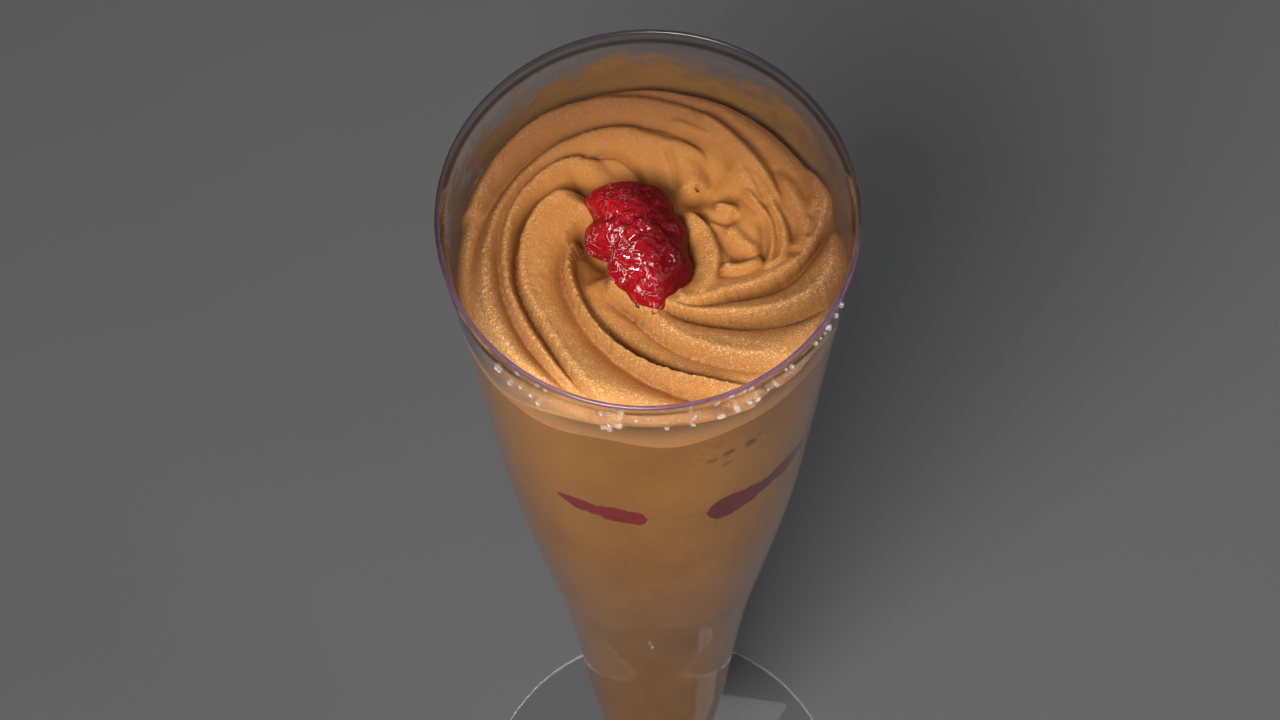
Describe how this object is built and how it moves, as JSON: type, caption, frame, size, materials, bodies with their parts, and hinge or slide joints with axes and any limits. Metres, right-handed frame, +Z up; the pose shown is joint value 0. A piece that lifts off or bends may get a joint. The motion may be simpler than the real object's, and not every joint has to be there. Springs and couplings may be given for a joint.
{
  "type": "chocolate mousse in a flute cup",
  "caption": "Mocha-chocolate mousse in a tall clear plastic flute, with a piped rosette, a raspberry on top and a raspberry layer showing at the wall.",
  "frame": {"origin": "centre of the foot's underside, where the flute stands", "axes": "+Z up along the flute's axis, -Y the front"},
  "size_m": [0.062, 0.062, 0.226],
  "materials": {
    "clear_plastic": "clear, glossy moulded plastic",
    "piped_mousse": "matte, finely grained mousse",
    "settled_mousse": "smooth mousse pressed against the wall",
    "raspberry_pulp": "wet fruit",
    "raspberry_flesh": "glossy wet fruit"
  },
  "bodies": {
    "root": {"cup": "clear_plastic", "mousse_rosette": "piped_mousse", "mousse_upper": "settled_mousse", "raspberry_layer": "raspberry_pulp", "mousse_middle": "settled_mousse", "mousse_base": "settled_mousse", "raspberry": "raspberry_flesh"}
  },
  "joints": []
}
